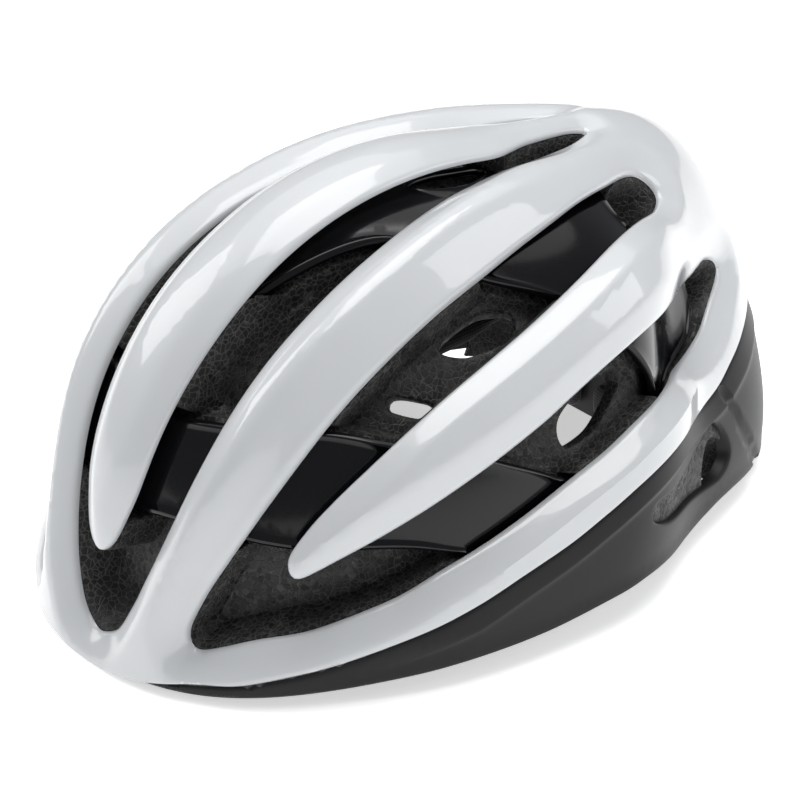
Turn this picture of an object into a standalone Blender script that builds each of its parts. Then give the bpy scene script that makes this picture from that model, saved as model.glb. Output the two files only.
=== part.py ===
"""Road cycling helmet: two shells, a foam liner, two hoops, a dial fit system and chin straps.

All sizes are in millimetres about the head centre. Each solid is scaled to metres at the end.
Directions from the head centre are laid out flat as (p, q), in degrees from the crown: p to the
wearer's left (+X), q to the back (+Y). A vent is then a plain outline in that flat layout.
"""

import math

import bmesh
import bpy
import numpy as np
from mathutils import Vector, geometry

MM = 0.001
GAP = 0.3

# Where the head centre stands over the base, and the shell's overall form.
HEAD_CENTRE = (0.0, 6.9, 27.45)
HALF_WIDTH = 103.0
FRONT_REACH = 153.2
REAR_REACH = 126.8
CROWN_RISE = 135.3
SKIRT_DEPTH = 181.0
NOSE_PITCH = math.radians(-13.32)
PLAN_POWERS = (2.20, 1.45)
SIDE_POWERS = (2.22, 2.91)
TAIL_ROUND = 0.14
BUMPS = (
    ((0.0, 0.0, 1.0), 0.40, -0.108),
    ((0.0, 0.75, 0.65), 0.35, 0.094),
    ((0.5, 0.6, 0.6), 0.32, -0.128),
    ((0.45, 0.9, 0.05), 0.30, 0.177),
    ((0.5, -0.45, 0.75), 0.40, -0.076),
    ((0.0, -0.8, 0.5), 0.35, -0.033),
    ((0.0, 1.0, 0.1), 0.30, 0.092),
    ((0.85, 0.3, 0.4), 0.35, -0.012),
)

# Walls and depths below the crest of the ribs.
SHELL_WALL = 1.8
BAND_WALL = 2.2
LIP_DROP = 7.0
LIP_SPREAD = 5.0
FOAM_BELOW_SHELL = 3.2
HOOP_DEPTH = 12.0
HOOP_WALL = 1.8
HOOP_SEAT = 4.8
FACET_RADIUS = 115.0
POCKET_DEPTH = 24.0
LEAST_FOAM = 7.0
STEP_WIDTH = 1.2
LONGEST_LINK = 15.0

# The hollow for the head.
HEAD_HALF_WIDTH = 79.0
HEAD_HALF_LENGTH = 106.0
HEAD_RISE = 94.0
HEAD_BACK = -4.0
HEAD_SKIRT = 400.0

# Webbing, buckle and fit system.
WEB_WIDTH = 15.0
WEB_THICK = 1.4
TOOTH_COUNT = 10
TOOTH_MODULE = 1.0
BACKLASH = 0.12
PAD_THICK = 4.5
PAD_GAP = 1.0
PLATE_Y = 78.0
PLATE_THICK = 2.4
PLATE_HALF = 23.0
STEM_TOP = 40.0
TRACK_FOOT = 16.0
TRACK_TOP = 52.0
DIAL_RADIUS = 13.0
DIAL_THICK = 7.0
DIAL_Z = -9.0
SHAFT_RADIUS = 3.0
SHAFT_FIT = 0.1
HOUSING_DEPTH = 6.5
RACK_THICK = 3.6
ARM_HEIGHT = 4.0
ARM_THICK = 1.6
PLUG_END = 14.0
BUCKLE_Y = -6.0
DIVIDER_FOOT = -22.0
DIVIDER_RISE = 13.0
STRAP_SET_OFF = 5.5

# Half outlines, from the front round the wearer's left side to the back.
RIM = [(0, -98.5), (15, -97.6), (29, -93), (40, -87.8), (55, -77), (67, -63), (74, -50),
       (78, -36), (80, -21), (79, -7), (76.3, 5), (72.3, 18), (67.5, 31), (61, 46), (52, 58),
       (42, 65.5), (31, 71), (16, 75.5), (0, 77)]
CENTRE_VENT = [(0, -96), (8, -95.5), (12, -91), (14.5, -84), (16.3, -76), (17.5, -65), (18, -50),
               (17.7, -36), (16.7, -24), (14, -10), (11, 0), (9, 8), (8.5, 14), (8, 20),
               (6.5, 26), (4, 31), (3.3, 28), (3.6, 23), (4.4, 17), (5.6, 13), (6.8, 10.5),
               (6.3, 6), (6, -5), (6.3, -20), (6.6, -35), (6.8, -50), (6.6, -62), (5.8, -72),
               (4.5, -79), (2.5, -84), (0, -86)]
SIDE_VENT = [(14, 34), (17.5, 23), (23, 8), (26.3, -4), (28.3, -14), (29.5, -24), (30.3, -36),
             (30.4, -48), (30, -59), (28.8, -68), (27, -76), (25, -84), (24, -88), (28, -89.5),
             (40, -81.5), (50, -73), (59, -62), (64, -51), (67.5, -40), (69.3, -29), (69.5, -17),
             (68, -6), (65.5, 4), (62, 14), (57.5, 25), (51, 37.5), (43.5, 48), (35.5, 55),
             (27, 59), (19, 61.5), (21.5, 57.5), (28.5, 51.5), (37.5, 41.5), (44.5, 29),
             (49.5, 15.5), (52.8, 4), (55.2, -7), (57, -18), (57, -28.5), (55.7, -39.5),
             (53, -50), (48.5, -60), (43, -69), (39.5, -73), (37.3, -70.5), (38.5, -60),
             (40.5, -51), (41.5, -42), (42, -33), (41.8, -23), (40.5, -12), (38, -1), (34.5, 10),
             (30, 20.5), (25.5, 30.5), (22, 38), (17.5, 39.5)]
# Edges of the two hoops, from the middle outwards.
FRONT_HOOP_FORE = [(0, -79), (12, -77), (20, -75), (31, -72), (42, -66.5), (57, -55), (66, -48),
                   (73, -40)]
FRONT_HOOP_AFT = [(0, -63.5), (8, -63), (20, -58.5), (31, -51.5), (41, -45), (50, -36.5),
                  (59, -28), (68, -17), (75, -8)]
REAR_HOOP_FORE = [(0, -56), (4, -52), (8, -39), (13, -24), (20, -18), (28, -13), (37, -1),
                  (44, 6), (50, 13), (56, 21), (62, 27)]
REAR_HOOP_AFT = [(0, 9), (6, 11), (12, 22), (16, 26.5), (24, 27), (27, 36), (26, 46), (24, 52),
                 (28, 59), (36, 60), (46, 52), (56, 39)]
# Vents that go right through the foam, and the slot in the lower band.
THROUGH_VENTS = (
    [(8.5, -60), (15.5, -57.5), (16, -40), (14.5, -28), (11, -33), (8.5, -45), (7.5, -54)],
    [(33, -47), (40, -42), (40.5, -30), (39.5, -18), (36.5, -7), (31.5, -14), (32, -30)],
    [(60.5, -26), (67.5, -18), (67, -6), (63, 5), (58, 14), (54, 11), (56.5, -2), (59, -14)],
)
BAND_SLOT = [(86, 13), (82.5, 12), (80, 24), (76, 37), (68.5, 49), (62, 56.5), (63.5, 60),
             (71, 54), (79.5, 41), (84.5, 27)]
# Height of the lower edge over the head centre, by degrees round from the front.
EDGE_HEIGHTS = ((0, -27.5), (20, -25.8), (40, -21.5), (55, -19), (70, -18), (86, -15.5),
                (98, -14.5), (110, -17), (125, -20), (140, -24), (160, -27), (180, -27.5))

COLOURS = {
    "white": ((0.80, 0.82, 0.84), 0.25),
    "black": ((0.02, 0.02, 0.022), 0.55),
    "gloss": ((0.01, 0.01, 0.011), 0.15),
    "foam": ((0.03, 0.03, 0.03), 0.9),
    "pad": ((0.04, 0.04, 0.045), 0.95),
    "web": ((0.03, 0.03, 0.03), 0.85),
}


def start_empty():
    for thing in list(bpy.data.objects):
        bpy.data.objects.remove(thing, do_unlink=True)


def curve(points, closed=True, steps=2):
    """Catmull-Rom curve through the points, with this many steps between neighbours."""
    points = np.asarray(points, float)
    if closed:
        before, after, later = (np.roll(points, k, axis=0) for k in (1, -1, -2))
    else:
        padded = np.vstack([2 * points[0] - points[1], points, 2 * points[-1] - points[-2]])
        before, after, later = padded[:-3], padded[2:-1], padded[3:]
        points = points[:-1]
    out = []
    for k in range(steps):
        t = k / steps
        out.append(0.5 * (2 * points + (after - before) * t
                          + (2 * before - 5 * points + 4 * after - later) * t ** 2
                          + (3 * points - before - 3 * after + later) * t ** 3))
    out = np.stack(out, axis=1).reshape(-1, 2)
    return out if closed else np.vstack([out, padded[-2]])


def both_sides(half):
    """A closed outline from its left half, whose first and last points are on the middle line."""
    half = np.asarray(half, float)
    return np.vstack([half, half[-2:0:-1] * (-1, 1)])


def mirrored(outline):
    return np.asarray(outline, float)[::-1] * (-1, 1)


def direction(flat):
    """(sin(r) p/r, sin(r) q/r, cos(r)) with r the length of (p, q) in radians."""
    flat = np.radians(flat)
    r = np.hypot(flat[:, 0], flat[:, 1]) + 1e-9
    return np.column_stack([flat * (np.sin(r) / r)[:, None], np.cos(r)])


def crest(flat):
    """Distance from the head centre to the crest of the ribs.

    A superellipsoid (|x/a|^n + |y/b|^n)^(m/n) + |z/c|^m = 1 pitched nose down, whose powers
    change from the front half to the back half, times 1 + g exp(-d^2 / 2 s^2) for each bump.
    """
    d = direction(flat)
    cos_pitch, sin_pitch = math.cos(NOSE_PITCH), math.sin(NOSE_PITCH)
    x = np.abs(d[:, 0])
    y = d[:, 1] * cos_pitch + d[:, 2] * sin_pitch
    z = d[:, 2] * cos_pitch - d[:, 1] * sin_pitch
    t = np.clip((y + 0.6) / 1.2, 0, 1)
    t = t * t * (3 - 2 * t)
    x = np.hypot(x, TAIL_ROUND * t)
    n = PLAN_POWERS[0] + (PLAN_POWERS[1] - PLAN_POWERS[0]) * t
    m = SIDE_POWERS[0] + (SIDE_POWERS[1] - SIDE_POWERS[0]) * t
    b = np.where(y < 0, FRONT_REACH, REAR_REACH)
    c = np.where(z > 0, CROWN_RISE, SKIRT_DEPTH)
    plan = (x / HALF_WIDTH) ** n + (np.abs(y) / b) ** n
    r = (plan ** (m / n) + (np.abs(z) / c) ** m) ** (-1 / m)
    swell = 1.0
    for centre, spread, gain in BUMPS:
        centre = np.array(centre) / np.linalg.norm(centre)
        away = (np.abs(d[:, 0]) - centre[0]) ** 2 + (y - centre[1]) ** 2 + (z - centre[2]) ** 2
        swell = swell + gain * np.exp(-away / (2 * spread ** 2))
    return r * swell


def head(flat):
    """Distance to the head hollow: r solves (x r/a)^2 + ((y r - y0)/b)^2 + (z r/c)^2 = 1."""
    x, y, z = direction(flat).T
    height = np.where(z > 0, HEAD_RISE, HEAD_SKIRT)
    a = (x / HEAD_HALF_WIDTH) ** 2 + (y / HEAD_HALF_LENGTH) ** 2 + (z / height) ** 2
    b = -2 * y * HEAD_BACK / HEAD_HALF_LENGTH ** 2
    c = (HEAD_BACK / HEAD_HALF_LENGTH) ** 2 - 1
    return (np.sqrt(b * b - 4 * a * c) - b) / (2 * a)


def inside(flat, outline):
    """True where a ray along +p crosses the outline an odd number of times."""
    p, q = flat[:, :1], flat[:, 1:]
    ends = np.roll(outline, -1, axis=0)
    low, high = outline[:, 1], ends[:, 1]
    across = (low > q) != (high > q)
    run = np.where(high == low, 1.0, high - low)
    where = outline[:, 0] + (q - low) / run * (ends[:, 0] - outline[:, 0])
    return (across & (p < where)).sum(axis=1) % 2 == 1


def depth_in(flat, outline):
    """Distance to the outline in degrees, positive inside it."""
    start = outline[None]
    run = (np.roll(outline, -1, axis=0) - outline)[None]
    along = ((flat[:, None] - start) * run).sum(2) / np.maximum((run ** 2).sum(2), 1e-12)
    near = start + run * np.clip(along, 0, 1)[..., None]
    away = np.sqrt(((flat[:, None] - near) ** 2).sum(2)).min(1)
    return np.where(inside(flat, outline), away, -away)


def smooth(t):
    t = np.clip(t, 0, 1)
    return t * t * (3 - 2 * t)


def edge_flat(angle, lift=0.0):
    """Flat place of the lower edge at this many degrees round from the front."""
    angles, heights = np.array(EDGE_HEIGHTS).T
    height = np.interp(abs(angle), angles, heights) + lift
    turn = math.radians(angle - 90)
    flat = np.array([[math.cos(turn), math.sin(turn)]]) * 98
    for _ in range(4):
        polar = 90 + math.degrees(math.asin(min(-height / crest(flat)[0], 0.9)))
        flat = np.array([[math.cos(turn), math.sin(turn)]]) * polar
    return flat[0]


def lower_edge(lift=0.0, step=6):
    half = [edge_flat(angle, lift) for angle in range(0, 181, step)]
    half[0][0] = half[-1][0] = 0.0
    return both_sides(half)


rim = both_sides(RIM)
centre_vent = both_sides(CENTRE_VENT)
side_vents = [np.array(SIDE_VENT, float), mirrored(SIDE_VENT)]
vents = [centre_vent, *side_vents]


def band_between(fore, aft):
    half = np.vstack([aft, fore[::-1]])
    return np.vstack([half, half[-2:0:-1] * (-1, 1)])


hoops = [band_between(FRONT_HOOP_FORE, FRONT_HOOP_AFT), band_between(REAR_HOOP_FORE, REAR_HOOP_AFT)]


def ring(outline, out):
    """The outline moved this many degrees away from its inside, less the points that cross over."""
    ahead = np.roll(outline, -1, axis=0) - np.roll(outline, 1, axis=0)
    normal = np.column_stack([ahead[:, 1], -ahead[:, 0]])
    normal /= np.linalg.norm(normal, axis=1, keepdims=True) + 1e-9
    after = np.roll(outline, -1, axis=0)
    area = (outline[:, 0] * after[:, 1] - outline[:, 1] * after[:, 0]).sum()
    moved = outline + normal * math.copysign(out, area * out)
    return moved[np.abs(depth_in(moved, outline) + out) < 0.15]


def lip_drop(flat):
    """Depth of the shell below the crest: LIP_DROP (1 - t)^2 with t the distance to a vent."""
    away = np.min([np.maximum(-depth_in(flat, vent), 0) for vent in vents], axis=0)
    return LIP_DROP * np.clip(1 - away / LIP_SPREAD, 0, 1) ** 2


def shell_top(flat):
    return crest(flat) - lip_drop(flat)


def foam_top(flat):
    """The foam's outside: under the shells, down in the vents, and level under the hoops.

    Clearances grow with the radius past FACET_RADIUS, as the depth of the facets does.
    """
    outside = crest(flat)
    room = np.maximum(outside / FACET_RADIUS, 1)
    floor = head(flat) + LEAST_FOAM
    top = outside - lip_drop(flat) - BAND_WALL - FOAM_BELOW_SHELL * room
    within = np.max([depth_in(flat, vent) for vent in vents], axis=0)
    pocket = np.maximum(outside - POCKET_DEPTH, floor)
    top = top + (pocket - top) * smooth(within / STEP_WIDTH)
    under = np.max([depth_in(flat, hoop) for hoop in hoops], axis=0)
    seat = outside - HOOP_DEPTH - HOOP_WALL - HOOP_SEAT * room
    return top + (seat - top) * smooth((under + 2 * STEP_WIDTH) / STEP_WIDTH)


def flat_solid(outline, holes, outer, inner, spacing, extra=()):
    """Points and triangles of the solid between two radii over an outline with holes."""
    loops = [np.asarray(outline, float), *[np.asarray(h, float) for h in holes]]
    low, high = loops[0].min(0), loops[0].max(0)
    rows = np.arange(low[1], high[1], spacing * 0.87)
    reach = spacing * math.ceil(high[0] / spacing)
    columns = np.arange(-reach, reach + spacing, spacing)
    grid = np.vstack([np.column_stack([columns + spacing / 2 * (k % 2), np.full(len(columns), row)])
                      for k, row in enumerate(rows)])
    lines = [*loops, *[np.asarray(e, float) for e in extra if len(e)]]
    clear = np.min([np.abs(depth_in(grid, line)) for line in lines], axis=0)
    grid = grid[clear > 0.45 * spacing]
    points, edges = list(grid), []
    for k, line in enumerate(lines):
        first = len(points)
        points.extend(line)
        steps = np.linalg.norm(np.roll(line, -1, axis=0) - line, axis=1)
        edges += [(first + i, first + (i + 1) % len(line)) for i, step in enumerate(steps)
                  if k < len(loops) or step < LONGEST_LINK]
    flat, _, faces = geometry.delaunay_2d_cdt([Vector(p) for p in points], edges, [], 0, 1e-5)[:3]
    flat = np.array([tuple(p) for p in flat])
    faces = np.array([f for f in faces if len(f) == 3])
    middle = flat[faces].mean(1)
    keep = inside(middle, loops[0])
    for hole in loops[1:]:
        keep &= ~inside(middle, hole)
    faces = faces[keep]
    turn = flat[faces[:, 1]] - flat[faces[:, 0]]
    other = flat[faces[:, 2]] - flat[faces[:, 0]]
    flip = turn[:, 0] * other[:, 1] - turn[:, 1] * other[:, 0] < 0
    faces[flip] = faces[flip][:, ::-1]
    used = np.unique(faces)
    faces = np.searchsorted(used, faces)
    flat = flat[used]
    ends = np.vstack([faces[:, [0, 1]], faces[:, [1, 2]], faces[:, [2, 0]]])
    alone = {tuple(e) for e in ends}
    border = np.array([e for e in ends if (e[1], e[0]) not in alone])
    count = len(flat)
    d = direction(flat)
    points = np.vstack([d * outer(flat)[:, None], d * inner(flat)[:, None]])
    a, b = border.T
    walls = np.vstack([np.column_stack([b, a, a + count]), np.column_stack([b, a + count, b + count])])
    return points, np.vstack([faces, faces[:, ::-1] + count, walls])


def place(name, points, faces, colour, origin=(0, 0, 0)):
    """Add a closed mesh, in millimetres about the head centre, with its origin where given."""
    move = np.array(HEAD_CENTRE) - np.array(origin, float)
    mesh = bpy.data.meshes.new(name)
    mesh.from_pydata(((np.asarray(points) + move) * MM).tolist(), [], [list(f) for f in faces])
    tidy = bmesh.new()
    tidy.from_mesh(mesh)
    bmesh.ops.remove_doubles(tidy, verts=tidy.verts, dist=1e-6)
    bmesh.ops.recalc_face_normals(tidy, faces=tidy.faces)
    tidy.to_mesh(mesh)
    tidy.free()
    item = bpy.data.objects.new(name, mesh)
    item.location = Vector(origin) * MM
    bpy.context.scene.collection.objects.link(item)
    tint, rough = COLOURS[colour]
    look = bpy.data.materials.new(name)
    look.use_nodes = True
    shader = look.node_tree.nodes["Principled BSDF"]
    shader.inputs["Base Color"].default_value = (*tint, 1)
    shader.inputs["Roughness"].default_value = rough
    mesh.materials.append(look)
    return item


def from_flat(name, colour, outline, outer, inner, holes=(), spacing=8.0, extra=()):
    return place(name, *flat_solid(outline, holes, outer, inner, spacing, extra), colour)


def prism(outline, depth, origin, across, up):
    """Points and faces of an outline drawn on two axes and pushed along their cross product."""
    across, up = np.array(across, float), np.array(up, float)
    push = np.cross(across, up) * depth
    outline = np.asarray(outline, float)
    base = np.array(origin, float) + outline[:, :1] * across + outline[:, 1:] * up
    count = len(base)
    triangles = geometry.tessellate_polygon([[Vector((*p, 0)) for p in outline]])
    caps = [tuple(t) for t in triangles]
    faces = caps + [tuple(i + count for i in reversed(t)) for t in caps]
    faces += [(i, (i + 1) % count, (i + 1) % count + count, i + count) for i in range(count)]
    return np.vstack([base, base + push]), faces


def rounded_box(width, height, corner, steps=3):
    """Outline of a rectangle about its centre, with round corners."""
    out = []
    for k, (sx, sy) in enumerate(((1, 1), (-1, 1), (-1, -1), (1, -1))):
        for j in range(steps + 1):
            turn = math.pi / 2 * (k + j / steps)
            out.append((sx * (width / 2 - corner) + corner * math.cos(turn),
                        sy * (height / 2 - corner) + corner * math.sin(turn)))
    return np.array(out)


def ribbon(path, widths, width, thickness):
    """Points and faces of a strip of webbing along a path, with its width laid on these vectors."""
    path = np.asarray(path, float)
    widths = np.asarray(widths, float)
    widths = widths / np.linalg.norm(widths, axis=1, keepdims=True)
    ahead = np.gradient(path, axis=0)
    ahead /= np.linalg.norm(ahead, axis=1, keepdims=True)
    widths = widths - ahead * (widths * ahead).sum(1, keepdims=True)
    widths /= np.linalg.norm(widths, axis=1, keepdims=True)
    thick = np.cross(ahead, widths)
    w, t = widths * width / 2, thick * thickness / 2
    points = np.stack([path - w - t, path + w - t, path + w + t, path - w + t], 1).reshape(-1, 3)
    last = 4 * (len(path) - 1)
    faces = [(0, 1, 2, 3), (last + 3, last + 2, last + 1, last)]
    for k in range(0, last, 4):
        faces += [(k + i, k + 4 + i, k + 4 + (i + 1) % 4, k + (i + 1) % 4) for i in range(4)]
    return points, faces


def along(start, middle, end, steps=6):
    """Quadratic Bezier from start to end, bent towards the middle point."""
    start, middle, end = (np.array(v, float) for v in (start, middle, end))
    t = np.linspace(0, 1, steps + 1)[:, None]
    return (1 - t) ** 2 * start + 2 * t * (1 - t) * middle + t ** 2 * end


def combine(item, operation, tool_name, points, faces):
    """Cut a second solid out of an object, or join it on, and hide that second solid."""
    tool = place(tool_name, points, faces, "black")
    tool.hide_render = True
    tool.display_type = "WIRE"
    modifier = item.modifiers.new(tool_name, "BOOLEAN")
    modifier.operation = operation
    modifier.solver = "EXACT"
    modifier.object = tool


def gear_outline(teeth, module, backlash):
    """Involute teeth: x + i y = r_b (1 - i u) exp(i (u + a)) for the roll angle u."""
    pressure = math.radians(20)
    pitch = teeth * module / 2
    base, tip, root = pitch * math.cos(pressure), pitch + 0.8 * module, pitch - 1.15 * module
    half = math.pi / (2 * teeth) - backlash / (2 * pitch) + math.tan(pressure) - pressure
    rolls = np.linspace(0, math.sqrt((tip / base) ** 2 - 1), 4)
    out = []
    for k in range(teeth):
        centre = 2 * math.pi * k / teeth
        flank = [(base * math.hypot(1, u), centre - half + u - math.atan(u)) for u in rolls]
        far = [(r, 2 * centre - a) for r, a in reversed(flank)]
        tooth = [(root, centre - half - 0.02), *flank, *far, (root, centre + half + 0.02)]
        out += [(r * math.cos(a), r * math.sin(a)) for r, a in tooth]
    return np.array(out)


def rack_outline(first, last, module, backlash, back):
    """A toothed bar along +X from first to last, pitch line on 0, its back at -back."""
    pitch = math.pi * module
    slope = math.tan(math.radians(20))
    half = pitch / 4 - backlash / 2
    out = [(first, -1.15 * module)]
    centre = math.ceil((first + pitch / 2) / pitch) * pitch
    while centre + pitch / 2 < last:
        for side, height in ((-1, -1.15), (-1, 0.55), (1, 0.55), (1, -1.15)):
            out.append((centre + side * (half - height * module * slope), height * module))
        centre += pitch
    out += [(last, -1.15 * module), (last, -back), (first, -back)]
    return np.array(out)


start_empty()

# Shells.
rings = [ring(vent, out) for vent in vents for out in (2.0, LIP_SPREAD)]
rings = [line[np.min([-depth_in(line, vent) for vent in vents], axis=0) > 1.5] for line in rings]
from_flat("outer_shell", "white", rim, shell_top, lambda f: shell_top(f) - SHELL_WALL,
          holes=vents, extra=rings)
band_inner = ring(rim, 0.25)
band_slots = [np.array(BAND_SLOT, float), mirrored(BAND_SLOT)]
from_flat("lower_shell", "black", lower_edge(), lambda f: crest(f) - GAP,
          lambda f: crest(f) - GAP - BAND_WALL, holes=[band_inner, *band_slots])

# Foam and hoops.
through = []
for vent in THROUGH_VENTS:
    through += [np.array(vent, float), mirrored(vent)]
foam_rings = rings + [ring(vent, -STEP_WIDTH) for vent in vents]
foam_rings += vents
foam_rings += [ring(hoop, out * STEP_WIDTH) for hoop in hoops for out in (1.0, 2.0)]
from_flat("foam_liner", "foam", lower_edge(lift=2.0), foam_top, head, holes=through,
          extra=foam_rings)
for name, hoop in zip(("front_hoop", "rear_hoop"), hoops):
    from_flat(name, "gloss", hoop, lambda f: crest(f) - HOOP_DEPTH,
              lambda f: crest(f) - HOOP_DEPTH - HOOP_WALL)


# Pads inside the foam.
def edge_patch(first, last, low, high, step=8):
    """Outline between two heights over the lower edge, and between two turns from the front."""
    turns = np.linspace(first, last, max(2, round((last - first) / step)) + 1)
    return np.array([edge_flat(t, low) for t in turns] + [edge_flat(t, high) for t in turns[::-1]])


def patch(centre, width, height, lean):
    """A rounded rectangle on the flat layout, leaning this many degrees."""
    lean = math.radians(lean)
    spin = np.array([[math.cos(lean), math.sin(lean)], [-math.sin(lean), math.cos(lean)]])
    return rounded_box(width, height, width * 0.4) @ spin + centre


def pad(name, outline):
    from_flat(name, "pad", outline, lambda f: head(f) - PAD_GAP,
              lambda f: head(f) - PAD_GAP - PAD_THICK)


pad("brow_pad", edge_patch(-52, 52, 5, 24))
pad("crown_pad", patch((0, -12), 9, 80, 0))
for side, word in ((1, "left"), (-1, "right")):
    for name, outline in (("rib_pad_", patch((24, -8), 8, 74, 3)),
                          ("side_pad_", patch((49.5, -22), 8, 46, 4))):
        pad(name + word, outline if side > 0 else mirrored(outline))

# Fit system at the back of the head: cradle on its track, housing, dial and the two arms.
plate_outline = np.vstack([
    [(PLATE_HALF, -17), (PLATE_HALF - 3, -20), (12, -19)],
    [(-12, -19), (3 - PLATE_HALF, -20), (-PLATE_HALF, -17)],
    [(-PLATE_HALF, -1), (4 - PLATE_HALF, 3), (-14, 4), (-8, 8), (-8, STEM_TOP), (8, STEM_TOP)],
    [(8, 8), (14, 4), (PLATE_HALF - 4, 3), (PLATE_HALF, -1)],
])
place("occipital_cradle", *prism(plate_outline, -PLATE_THICK, (0, PLATE_Y, 0), (1, 0, 0), (0, 0, 1)),
      "black")
track_y = PLATE_Y + PLATE_THICK + GAP
place("height_track", *prism(rounded_box(14, TRACK_TOP - TRACK_FOOT, 3), -2.0,
                             (0, track_y, (TRACK_TOP + TRACK_FOOT) / 2), (1, 0, 0), (0, 0, 1)),
      "black")
for side, word in ((1, "left"), (-1, "right")):
    place("cradle_pad_" + word,
          *prism(rounded_box(18, 17, 6), -PAD_THICK,
                 (side * (PLATE_HALF - 11), PLATE_Y - GAP - PAD_THICK, -8.5),
                 (1, 0, 0), (0, 0, 1)), "pad")

housing_y = PLATE_Y + PLATE_THICK + GAP
rack_y = housing_y + GAP
back = ARM_HEIGHT
hollow = 2 * (TOOTH_COUNT * TOOTH_MODULE / 2 + back + GAP)
housing = place("dial_housing",
                *prism(rounded_box(40, hollow + 5, 5), -HOUSING_DEPTH,
                       (0, housing_y, DIAL_Z), (1, 0, 0), (0, 0, 1)), "black")
combine(housing, "DIFFERENCE", "housing_hollow",
        *prism(rounded_box(60, hollow, 0.5), -(RACK_THICK + 3 * GAP), (0, housing_y - GAP, DIAL_Z),
               (1, 0, 0), (0, 0, 1)))
angles = np.radians(np.arange(0, 360, 15))
circle = np.column_stack([np.cos(angles), np.sin(angles)])
combine(housing, "DIFFERENCE", "housing_bore",
        *prism(circle * (SHAFT_RADIUS + SHAFT_FIT), -20, (0, housing_y - 5, DIAL_Z),
               (1, 0, 0), (0, 0, 1)))
pinion_outline = gear_outline(TOOTH_COUNT, TOOTH_MODULE, BACKLASH)
place("dial_pinion", *prism(pinion_outline, -RACK_THICK, (0, rack_y, DIAL_Z), (1, 0, 0), (0, 0, 1)),
      "black", origin=(0, housing_y + HEAD_CENTRE[1], DIAL_Z + HEAD_CENTRE[2]))
knob_y = housing_y + HOUSING_DEPTH + GAP
grip_angles = np.radians(np.arange(0, 360, 6))
grip = np.column_stack([np.cos(grip_angles), np.sin(grip_angles)])
grip = grip * (DIAL_RADIUS - 0.5 + 0.5 * np.cos(15 * grip_angles))[:, None]
knob = place("dial_knob", *prism(grip, -DIAL_THICK, (0, knob_y, DIAL_Z), (1, 0, 0), (0, 0, 1)),
             "black", origin=(0, housing_y + HEAD_CENTRE[1], DIAL_Z + HEAD_CENTRE[2]))
shaft_y = rack_y + RACK_THICK + GAP
combine(knob, "UNION", "knob_shaft",
        *prism(circle * SHAFT_RADIUS, -(knob_y - shaft_y + 1), (0, shaft_y, DIAL_Z),
               (1, 0, 0), (0, 0, 1)))

arm_path = curve([(24, 0), (31, 0), (36, -6), (41.5, -13.5), (48.5, -24.5), (55.5, -38),
                  (60.5, -52.5), (63.5, -68), (64.5, -84)], closed=False)
bar = rack_outline(-16, 30, TOOTH_MODULE, BACKLASH, back)
for side, word in ((1, "left"), (-1, "right")):
    level = DIAL_Z + side * TOOTH_COUNT * TOOTH_MODULE / 2
    rack = prism(bar, RACK_THICK, (0, rack_y, level), (side, 0, 0), (0, 0, -side))
    arm = place("headband_arm_" + word, *rack, "black")
    strip_z = np.interp(arm_path[:, 0], [24, 60], [level + side * GAP, DIAL_Z])
    strip_y = rack_y + RACK_THICK / 2 + arm_path[:, 1]
    strip = np.column_stack([side * arm_path[:, 0], strip_y, strip_z])
    combine(arm, "UNION", "arm_strip_" + word,
            *ribbon(strip, np.tile((0, 0, 1.0), (len(strip), 1)), 7.0, ARM_THICK))

# Straps, dividers and buckle, tucked flat inside the helmet.
floor = -HEAD_CENTRE[2]
web_z = floor + WEB_THICK / 2 + GAP
plug = place("buckle_plug",
             *prism([(PLUG_END, -9), (PLUG_END, 9), (0.5, 9), (0.5, 5.5), (-19, 5.5), (-21, 3.5),
                     (-21, 2), (-3, 2), (-3, -2), (-21, -2), (-21, -3.5), (-19, -5.5),
                     (0.5, -5.5), (0.5, -9)], 3.6, (0, BUCKLE_Y, floor + 2.4),
                    (1, 0, 0), (0, 1, 0)), "black")
socket = place("buckle_socket",
               *prism(rounded_box(28, 20, 4) + (-14, 0), 8.0, (0, BUCKLE_Y, floor + GAP),
                      (1, 0, 0), (0, 1, 0)), "black")
combine(socket, "DIFFERENCE", "socket_hollow",
        *prism(rounded_box(30, 12.4, 0.5) + (-8, 0), 4.6, (0, BUCKLE_Y, floor + 1.9),
               (1, 0, 0), (0, 1, 0)))
for side, word in ((1, "left"), (-1, "right")):
    start = PLUG_END + GAP if side > 0 else 28 + GAP
    run = [(start, 0), (start + 12, 0), (60, 0), (69, 0.6), (73.5, 3), (75.3, DIVIDER_FOOT - web_z - 1.5)]
    run = curve(run, closed=False, steps=3)
    path = np.column_stack([side * run[:, 0], np.full(len(run), BUCKLE_Y), web_z + run[:, 1]])
    place("chin_strap_" + word,
          *ribbon(path, np.tile((0, 1.0, 0), (len(path), 1)), WEB_WIDTH, WEB_THICK), "web")
    place("strap_divider_" + word,
          *prism(rounded_box(20, DIVIDER_RISE, 3), 3.0, (side * 75.3 - 1.5, BUCKLE_Y,
                 DIVIDER_FOOT + DIVIDER_RISE / 2), (0, 1, 0), (0, 0, 1)), "black")
    for name, reach, top in (("strap_front_", -38, 70.9), ("strap_rear_", 42, 69.2)):
        sign = math.copysign(1, reach)
        low = (side * 75.3, BUCKLE_Y + sign * (10 + STRAP_SET_OFF), DIVIDER_FOOT + DIVIDER_RISE / 2)
        high = (side * top, BUCKLE_Y + reach, 8)
        bend = (side * (75.3 + top) / 2, BUCKLE_Y + reach * 0.55, -2)
        path = along(low, bend, high)
        turn = np.cross(np.gradient(path, axis=0), (side, 0, 0))
        place(name + word, *ribbon(path, turn, WEB_WIDTH * 0.8, WEB_THICK), "web")
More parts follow.
